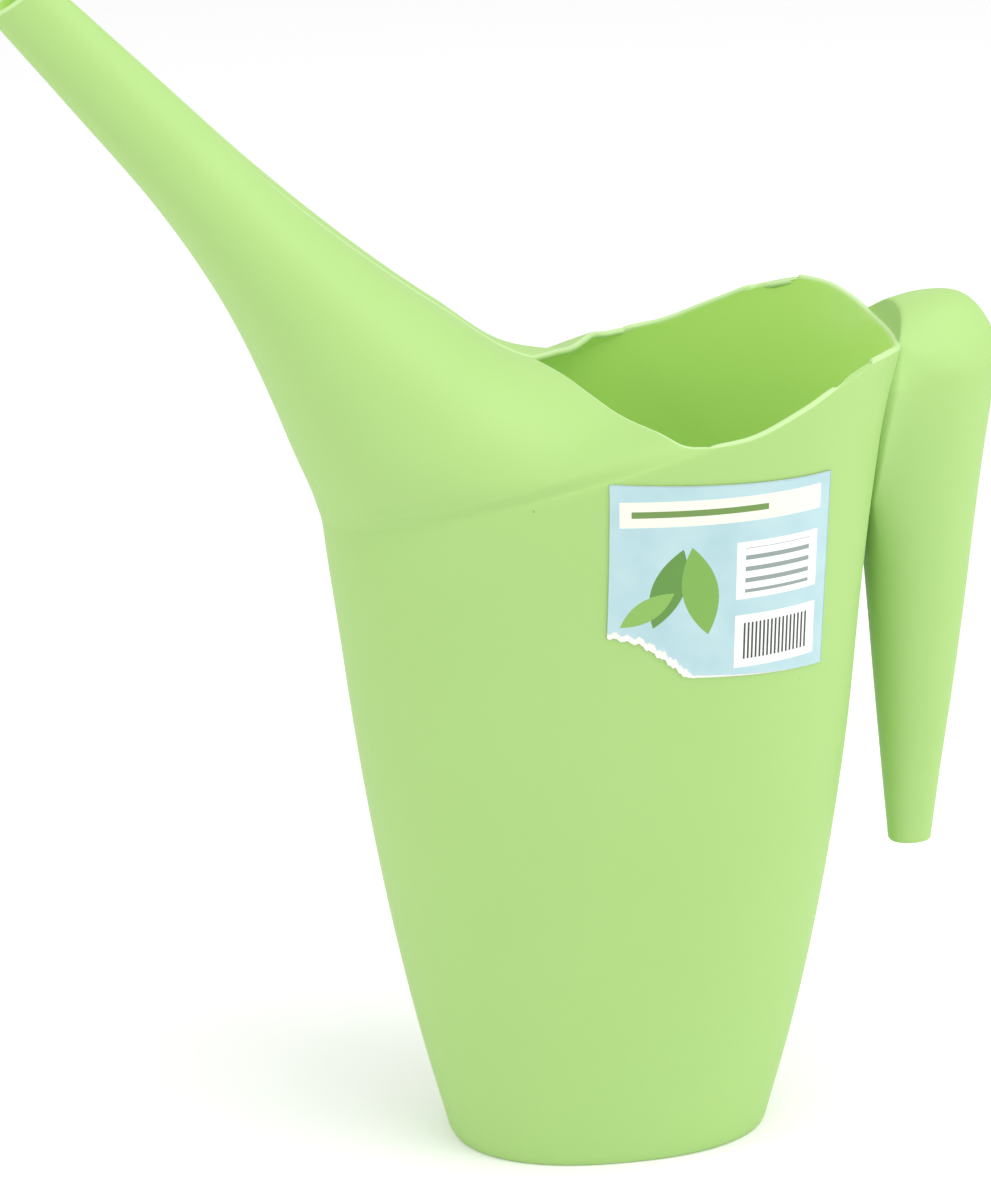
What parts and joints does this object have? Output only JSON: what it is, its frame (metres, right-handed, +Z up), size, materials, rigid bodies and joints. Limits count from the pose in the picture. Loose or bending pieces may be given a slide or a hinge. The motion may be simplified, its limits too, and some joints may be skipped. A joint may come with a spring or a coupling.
{
  "type": "watering can",
  "caption": "One-piece moulded plastic watering can with an oval tapering body, a long slanting spout drawn out of the rim and a hanging open-ended handle.",
  "frame": {"origin": "centre of the foot ring, on the surface the can stands on", "axes": "+Z up, +X from the spout towards the handle, Y across the can, which is symmetric about the XZ plane"},
  "size_m": [0.2777, 0.1122, 0.3467],
  "materials": {
    "green_polypropylene": "matte outside, glossy inside",
    "label_paper": "torn white paper",
    "label_print": "printed paper, light varnish"
  },
  "bodies": {
    "root": {"base": "green_polypropylene", "body": "green_polypropylene", "spout": "green_polypropylene", "handle": "green_polypropylene", "label_paper": "label_paper", "label_print": "label_print"}
  },
  "joints": []
}
